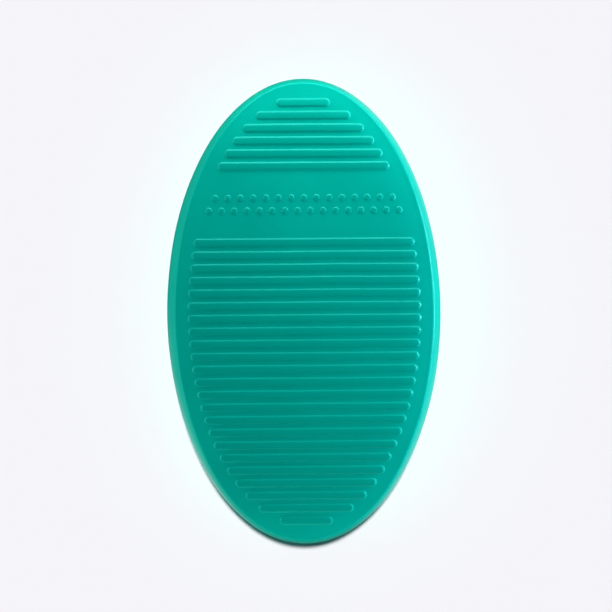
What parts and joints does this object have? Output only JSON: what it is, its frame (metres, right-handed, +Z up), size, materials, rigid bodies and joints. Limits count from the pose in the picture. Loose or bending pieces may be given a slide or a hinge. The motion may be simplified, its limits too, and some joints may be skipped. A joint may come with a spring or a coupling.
{
  "type": "balance pad",
  "caption": "Oval foam balance pad with transverse grip ribs and grip studs on the standing face, a leaning side wall and a grooved flat sole.",
  "frame": {"origin": "middle of the flat sole, at the bottom centre of the pad's box", "axes": "+Z up through the standing face; +Y along the pad towards its end with the short group of ribs; +X across the pad"},
  "size_m": [0.2384, 0.405, 0.051],
  "materials": {
    "skin_foam": "satin sea-green moulded skin of closed-cell foam with a fine pebble",
    "core_foam": "matte open-cut closed-cell foam",
    "seam_compound": "satin fused foam compound"
  },
  "bodies": {
    "root": {"upper_skin": "skin_foam", "lower_skin": "skin_foam", "foam_core": "core_foam", "seam_ring": "seam_compound"}
  },
  "joints": []
}
